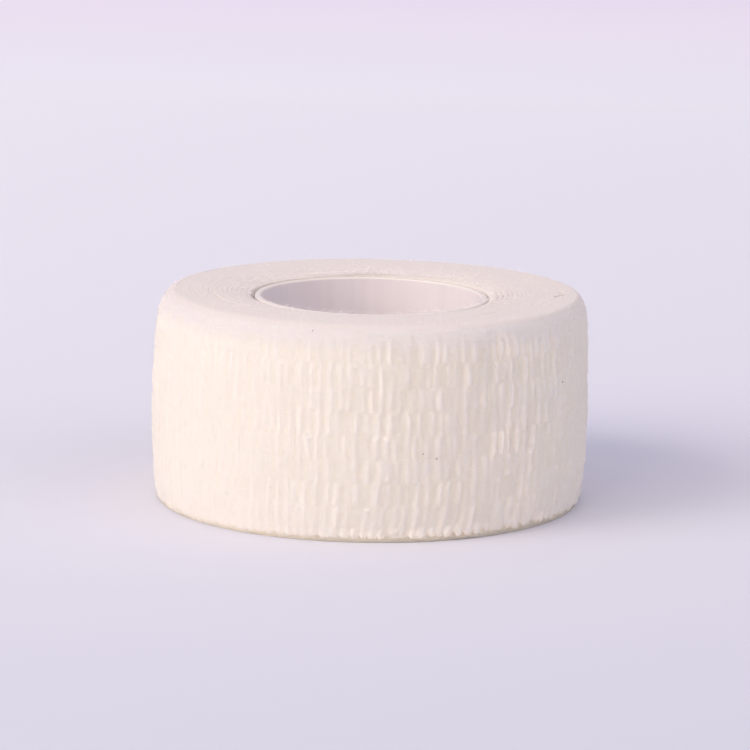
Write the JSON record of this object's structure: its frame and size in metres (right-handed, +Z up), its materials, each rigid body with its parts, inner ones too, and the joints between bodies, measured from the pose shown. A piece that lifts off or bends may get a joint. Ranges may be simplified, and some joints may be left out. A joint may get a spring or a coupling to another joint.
{
  "type": "cohesive bandage roll",
  "caption": "Roll of crinkled elastic cohesive bandage wound on a thin plastic tube, standing on its flat end.",
  "frame": {"origin": "middle of the flat base, on the tube's axis", "axes": "+Z up along the tube's axis, -Y towards the picture's camera, +Y towards the cloth's cut end"},
  "size_m": [0.0528, 0.053, 0.025],
  "materials": {
    "crinkled_cloth": "matt crinkled nonwoven, cream white",
    "core_plastic": "smooth, slightly glossy white plastic"
  },
  "bodies": {
    "root": {"bandage_roll": "crinkled_cloth", "core_tube": "core_plastic"}
  },
  "joints": []
}
